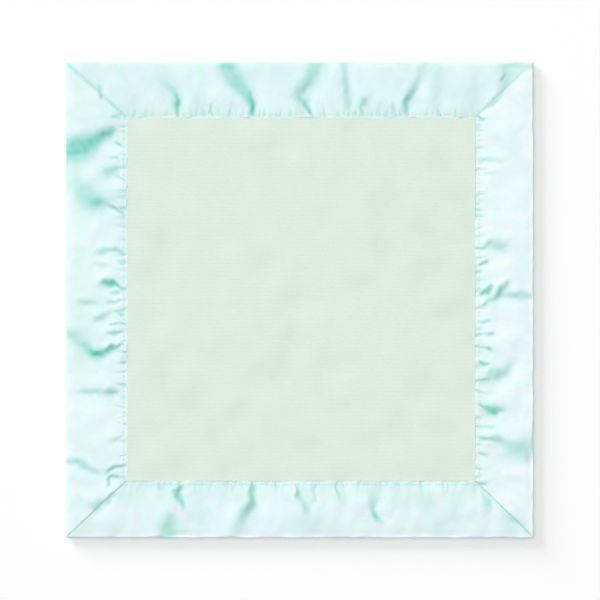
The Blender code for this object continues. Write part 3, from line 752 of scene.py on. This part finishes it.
def shade_strip(cloth, side, x, y, inset, is_front, painted_shade):
    """Keeps the painted shade and the painted sheen of each point of a strip, for its material to read.

    Slopes that turn away from the light and the steep outer fold get a light painted shade, like shallow
    folds.
    """
    normals = np.empty(len(x) * 3)
    cloth.data.vertex_normals.foreach_get("vector", normals)
    normals = normals.reshape(-1, 3)
    loose = looseness(x, y)
    off_edge = smooth_step((inset - 0.001 - 0.003 * loose) / 0.002)
    # Painted shade on slopes that turn away from the light.
    turned_away = smooth_step((normals @ (*FROM_LIGHT, 0.0) - 0.10) / 0.5) * off_edge
    strip_painted_shade = np.where(is_front, np.maximum(painted_shade ** 0.9, 0.25 * turned_away), painted_shade)
    flat = np.abs(normals[:, 2])
    # Painted shade on the steep outer fold.
    strip_painted_shade = np.maximum(strip_painted_shade, 0.4 * smooth_step((0.5 - flat) / 0.35) * (inset < 0.003))
    # Painted sheen: a level for each side, and a painted highlight along the outer edge.
    painted_sheen = SIDE_PAINTED_SHEEN[side] + (0.9 - 0.45 * loose) * np.exp(-inset / 0.0022)
    # Patches with more or less painted sheen.
    for middle_x, middle_y, wide, high, amount in PAINTED_SHEEN_PATCHES:
        off_x, off_y = (x - middle_x / 1000) * 1000 / wide, (y - middle_y / 1000) * 1000 / high
        painted_sheen += amount * np.exp(-off_x ** 2 - off_y ** 2)
    # No painted sheen where the faces tilt, off the outer edge, nor on the steep parts of the loose sides.
    painted_sheen = np.clip(painted_sheen, 0, 1.4) * smooth_step(1 - off_edge * (1 - flat) / 0.06)
    painted_sheen *= 1 - loose * (1 - smooth_step((flat - 0.15) / 0.6))
    for name, values in (("painted_shade", strip_painted_shade), ("painted_sheen", painted_sheen)):
        cloth.data.attributes.new(name, "FLOAT", "POINT").data.foreach_set("value", values)


def satin_strip(side):
    """One strip: a grid laid along its section, then thickened towards its inner side."""
    _, _, length, before, after = SIDES[side]
    satin = SATIN_SHOWS[side]
    rows = section_rows(satin)
    cloth = flat_cloth(f"satin_{side}", STRIP_COLUMNS, len(rows) - 1)
    u, v, _ = corners(cloth)
    row = np.rint((v + 1) / 2 * (len(rows) - 1)).astype(int)
    face, inset, read_at, off = (np.array(column)[row] for column in zip(*rows))
    is_front = face == "front"
    first = inset * SATIN_SHOWS[before] / satin + HALF_MITRE_GAP
    last = length - inset * SATIN_SHOWS[after] / satin - HALF_MITRE_GAP
    along = first + (u + 1) / 2 * (last - first)
    front, front_painted_shade = front_face(side, along, read_at)
    back, back_painted_shade = back_face(side, along, read_at)
    height = np.where(is_front, front, back) + off
    x, y = on_blanket(side, along, inset)
    edge = 0.00014 * ripples(x, y, 0.018, 24) * np.exp(-inset / 0.004)
    lip = 0.45 * gathers(side, along, np.zeros_like(along)) * np.exp(-(satin - inset) / 0.0012)
    x, y = on_blanket(side, along, inset + edge + lip)
    move_corners(cloth, x, y, height)
    shade_strip(cloth, side, x, y, inset, is_front, np.where(is_front, front_painted_shade, back_painted_shade))
    across, steps = unrolled_section(satin, rows)
    lay_out(cloth, along, across[row])
    apply_modifier(cloth, "SOLIDIFY", thickness=SATIN, offset=-1)
    pick(cloth)
    bpy.ops.object.shade_smooth_by_angle(angle=math.radians(60))
    mitred_off = np.array([row[1] for row in rows]) * (SATIN_SHOWS[before] + SATIN_SHOWS[after]) / satin
    lengths = length - mitred_off
    cut_area = float(np.sum((lengths[1:] + lengths[:-1]) / 2 * steps))
    return cloth, float(across[-1]), cut_area


# Woven polyester satin: long warp floats run along each strip, so its gloss is strong, white and wide
# across the strip. A painted sheen makes the flats pale, and random clouds some 20 mm across make it
# stronger or weaker. A painted shade makes the folds, the slopes turned from the light and the steep
# outer fold mint, and takes away their gloss.
# The real yarns are 0.1 mm apart, too fine to show, so they are drawn as streaks of about 0.7 mm.
satin_finish, shader = new_material("Woven polyester satin")
unrolled = add(satin_finish, "ShaderNodeUVMap", uv_map="unrolled")["UV"]
along_yarns = add(satin_finish, "ShaderNodeMapping", {"Vector": unrolled,
                                                      "Scale": (1 / 0.018, 1 / 0.0007, 1)})[0]
yarns = add(satin_finish, "ShaderNodeTexNoise", {"Vector": along_yarns, "Scale": 1.0,
                                                 "Detail": 3.0})["Fac"]
drawn_out = add(satin_finish, "ShaderNodeMapping", {"Vector": unrolled,
                                                    "Scale": (1 / 0.018, 1 / 0.026, 1)})[0]
cloud = add(satin_finish, "ShaderNodeTexNoise", {"Vector": drawn_out, "Scale": 1.0, "Detail": 3.0,
                                                 "Distortion": 0.6})["Fac"]
cast = add(satin_finish, "ShaderNodeMapRange", {"Value": cloud, "From Min": 0.38, "From Max": 0.62,
                                                "To Min": -0.22, "To Max": 0.22})[0]
# The painted sheen, which random clouds make stronger or weaker.
painted_sheen = add(satin_finish, "ShaderNodeAttribute", attribute_name="painted_sheen")["Fac"]
painted_sheen = add(satin_finish, "ShaderNodeMath", {0: cast, 1: painted_sheen}, operation="ADD")[0]
mottle = add(satin_finish, "ShaderNodeTexNoise", {"Vector": drawn_out, "Scale": 1.9,
                                                  "Detail": 2.0})["Fac"]
mottle = add(satin_finish, "ShaderNodeMapRange", {"Value": mottle, "From Min": 0.40,
                                                  "From Max": 0.60})[0]
# The painted sheen's colour, between cyan-white and lavender.
painted_sheen_colour = add(satin_finish, "ShaderNodeMix", {0: mottle, 6: linear("#D5EAEB"), 7: linear("#DCE8F1")},
                  data_type="RGBA")[2]
deep_colour = add(satin_finish, "ShaderNodeMix", {0: mottle, 6: linear("#BDDED9"), 7: linear("#BFDBDD")},
                  data_type="RGBA")[2]
# Mint where no sheen is painted, pale where it is.
flat_colour = add(satin_finish, "ShaderNodeMix", {0: painted_sheen, 6: deep_colour, 7: painted_sheen_colour},
                  data_type="RGBA")[2]
# Painted shade: mint in the folds, on slopes turned from the light and on the steep outer fold.
painted_shade = add(satin_finish, "ShaderNodeAttribute", attribute_name="painted_shade")["Fac"]
satin_colour = add(satin_finish, "ShaderNodeMix", {0: painted_shade, 6: flat_colour, 7: linear("#6ED3C3")},
                   data_type="RGBA")[2]
gloss = add(satin_finish, "ShaderNodeMapRange", {"Value": yarns, "To Min": 0.28, "To Max": 0.40})[0]
# The painted shade also takes away the gloss.
gloss_lost_to_painted_shade = add(satin_finish, "ShaderNodeMapRange", {"Value": painted_shade, "To Min": 1.0, "To Max": 0.3})[0]
yarn_bump = add(satin_finish, "ShaderNodeBump", {"Strength": 0.12, "Distance": 0.0001,
                                                 "Height": yarns})[0]
tangent = add(satin_finish, "ShaderNodeTangent", direction_type="UV_MAP", uv_map="unrolled")[0]
links = satin_finish.node_tree.links
links.new(satin_colour, shader.inputs["Base Color"])
links.new(gloss, shader.inputs["Roughness"])
shader.inputs["Specular IOR Level"].default_value = 1.0
links.new(gloss_lost_to_painted_shade, shader.inputs["Specular IOR Level"])
links.new(yarn_bump, shader.inputs["Normal"])
links.new(tangent, shader.inputs["Tangent"])
shader.inputs["IOR"].default_value = 1.62
shader.inputs["Anisotropic"].default_value = 0.55
shader.inputs["Anisotropic Rotation"].default_value = 0.25

strips = {}
for side in SIDES:
    strip, cut_width, cut_area = satin_strip(side)
    strip.data.materials.append(satin_finish)
    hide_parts(f"binding_{side}")
    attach(strip, "root")
    strips[side] = (strip, (cut_width, SIDES[side][2]), cut_area)


# Topstitching
#
# Lockstitch through satin, plush and satin, 3 mm from the satin's inner edge. Each stitch lies in the
# groove that it pulls, and dips into the cloth at both of its ends.

STITCH_PITCH = 0.0030
STITCH_SHOWS = 0.0025
THREAD_RADIUS = 0.00017
ROW_ENDS_BEFORE_MITRE = 0.001
STITCH_LEANS = 0.00007
STITCH_ARCH, STITCH_DIP = 0.00016, 0.00034


def stitch_row(face_name, side, face, outward):
    """A row of copies of one stitch, laid along the stitch line of a face."""
    name = f"topstitch_{face_name}_{side}"
    _, _, length, before, after = SIDES[side]
    satin = SATIN_SHOWS[side]
    line = satin - STITCH_INSET
    first = line * SATIN_SHOWS[before] / satin + ROW_ENDS_BEFORE_MITRE
    last = length - line * SATIN_SHOWS[after] / satin - ROW_ENDS_BEFORE_MITRE
    count = int((last - first) / STITCH_PITCH)
    row = repeated(standing_thread(name, THREAD_RADIUS, STITCH_SHOWS, 6, 6), count, STITCH_PITCH)
    across, up, height = corners(row)
    number = np.floor((height + 0.0001) / STITCH_PITCH)
    share = np.clip((height - number * STITCH_PITCH) / STITCH_SHOWS, 0, 1)
    lean = np.random.default_rng(60 + len(name)).normal(0, STITCH_LEANS, count)[number.astype(int)]
    along = first + (last - first - count * STITCH_PITCH) / 2 + height
    middle, _ = face(side, along, np.full_like(along, line))
    arch = STITCH_ARCH - STITCH_DIP * np.abs(2 * share - 1) ** 3
    x, y = on_blanket(side, along, line - across + lean * (2 * share - 1))
    move_corners(row, x, y, middle + outward * arch + up)
    finish_thread(row, f"{face_name}_stitch_{side}")
    return row


for side, (strip, flat, cut_area) in strips.items():
    front_row = stitch_row("front", side, front_face, 1)
    back_row = stitch_row("back", side, back_face, -1)


# Mitre seams
#
# Small slip stitches draw each mitre shut, from the inner corner on top, over the outer corner, to the
# inner corner underneath. They sit at the bottom of the dip between the two strips.

SLIP_PITCH = 0.0021
SLIP_SHOWS = 0.0017
SLIP_RADIUS = 0.00012
SLIP_ARCH, SLIP_DIP = 0.00010, 0.00025
LOOK_ALONG = 0.0004      # how far ahead and behind the seam's direction is read


def mitre_path(side):
    """Points down the mitre where the side begins, from the front's inner corner to the back's."""
    satin = SATIN_SHOWS[side]
    first = SATIN_SHOWS[SIDES[side][3]]
    points = []
    for kind, inset, _, off in reversed(section_rows(satin)):
        if off or inset > satin - LIP:
            continue
        along = np.array([inset * first / satin])
        height, _ = (front_face if kind == "front" else back_face)(side, along, np.array([inset]))
        x, y = on_blanket(side, along, np.array([inset]))
        points.append((x[0], y[0], height[0]))
    return np.array(points)


for side, name in (("bottom", "bottom_left"), ("right", "bottom_right"), ("top", "top_right"),
                   ("left", "top_left")):
    path = mitre_path(side)
    gone = np.concatenate(([0.0], np.cumsum(np.linalg.norm(np.diff(path, axis=0), axis=1))))
    count = int(gone[-1] / SLIP_PITCH)
    seam = standing_thread(f"mitre_stitches_{name}", SLIP_RADIUS, SLIP_SHOWS, 4, 6)
    seam = repeated(seam, count, SLIP_PITCH)
    across, up, height = corners(seam)
    number = np.floor((height + 0.0001) / SLIP_PITCH)
    share = np.clip((height - number * SLIP_PITCH) / SLIP_SHOWS, 0, 1)
    at = height + (gone[-1] - count * SLIP_PITCH) / 2
    here, ahead, behind = (np.stack([np.interp(at + step, gone, path[:, i]) for i in range(3)], axis=1)
                           for step in (0, LOOK_ALONG, -LOOK_ALONG))
    tangent = (ahead - behind) / np.linalg.norm(ahead - behind, axis=1)[:, None]
    inwards = path[0] - path[len(path) // 2]
    level = np.array((-inwards[1], inwards[0], 0.0))
    level /= np.linalg.norm(level)
    outward = np.cross(tangent, level)
    outward *= np.where(outward @ (0, 0, 1) * np.where(at < gone[-1] / 2, 1, -1) < 0, -1, 1)[:, None]
    arch = SLIP_ARCH - SLIP_DIP * np.abs(2 * share - 1) ** 3
    place = here + level * across[:, None] + outward * (up + arch)[:, None]
    move_corners(seam, *place.T)
    finish_thread(seam, f"mitre_seam_{name}")


# Floor, lights and camera
#
# A plain white table top in a white room, a large soft lamp overhead and a little towards the top
# left, and a low sun from the top left that draws the soft shadow and isn't mirrored in the gloss.

bpy.ops.object.select_all(action="DESELECT")
bpy.ops.mesh.primitive_plane_add(size=24, location=(0, 0, 0))
floor = bpy.context.object
floor.name = floor.data.name = "table_top"
x, y, z = corners(floor)
move_corners(floor, x, y, z - 0.0002)


def looked_at(owner):
    """1 where the camera, a reflection or a refraction looks, 0 for the light that falls on things."""
    rays = add(owner, "ShaderNodeLightPath")
    either = add(owner, "ShaderNodeMath", {0: rays["Is Camera Ray"], 1: rays["Is Glossy Ray"]},
                 operation="MAXIMUM")[0]
    return add(owner, "ShaderNodeMath", {0: either, 1: rays["Is Transmission Ray"]},
               operation="MAXIMUM")[0]


# White laminate. Round the blanket it is plain diffuse white, which keeps the shadow. Further out it
# fades into the white of the room for what the camera and reflections see.
table, shader = new_material("White laminate")
shader.inputs["Base Color"].default_value = (1, 1, 1, 1)
shader.inputs["Roughness"].default_value = 0.9
shader.inputs["Specular IOR Level"].default_value = 0.0
place = add(table, "ShaderNodeTexCoord")["Object"]
distance = add(table, "ShaderNodeVectorMath", {0: place}, operation="LENGTH")["Value"]
far = add(table, "ShaderNodeMapRange", {"Value": distance, "From Min": 0.33, "From Max": 0.9})[0]
white = add(table, "ShaderNodeMath", {0: far, 1: looked_at(table)}, operation="MULTIPLY")[0]
glow = add(table, "ShaderNodeEmission", {"Color": (1, 1, 1, 1), "Strength": 1.0})[0]
surface = add(table, "ShaderNodeMixShader", {0: white, 1: shader.outputs[0], 2: glow})[0]
table.node_tree.links.new(surface, table.node_tree.nodes["Material Output"].inputs["Surface"])
floor.data.materials.append(table)

# The room: white where the camera and reflections look at it, and a dimmer light on the rest.
world = bpy.data.worlds.new("White room")
world.use_nodes = True
bpy.context.scene.world = world
room = world.node_tree.nodes["Background"]
room.inputs["Color"].default_value = (1, 1, 1, 1)
level = add(world, "ShaderNodeMapRange", {"Value": looked_at(world), "To Min": 0.32})[0]
world.node_tree.links.new(level, room.inputs["Strength"])


def lamp(kind, name, place, **settings):
    """A lamp at a place, turned to shine at the blanket."""
    bpy.ops.object.select_all(action="DESELECT")
    bpy.ops.object.light_add(type=kind, location=place)
    light = bpy.context.object
    light.name = name
    light.rotation_euler = Vector(place).to_track_quat("Z", "Y").to_euler()
    for setting, value in settings.items():
        setattr(light.data, setting, value)
    return light


lamp("AREA", "overhead", (-0.15, 0.20, 2.6), shape="RECTANGLE", size=4.0, size_y=3.0, energy=51.5)
window = lamp("SUN", "window", (-0.70, 0.71, 0.245), energy=2.6, angle=math.radians(24))
window.visible_glossy = False

bpy.ops.object.select_all(action="DESELECT")
bpy.ops.object.camera_add(location=(0.0002, 0.0, 1.688), rotation=(0, 0, 0))
camera = bpy.context.object
camera.name = "photograph"
camera.data.lens = 135
camera.data.sensor_width = 36
camera.data.clip_start, camera.data.clip_end = 0.05, 50
bpy.context.scene.camera = camera
bpy.context.scene.view_settings.view_transform = "Standard"
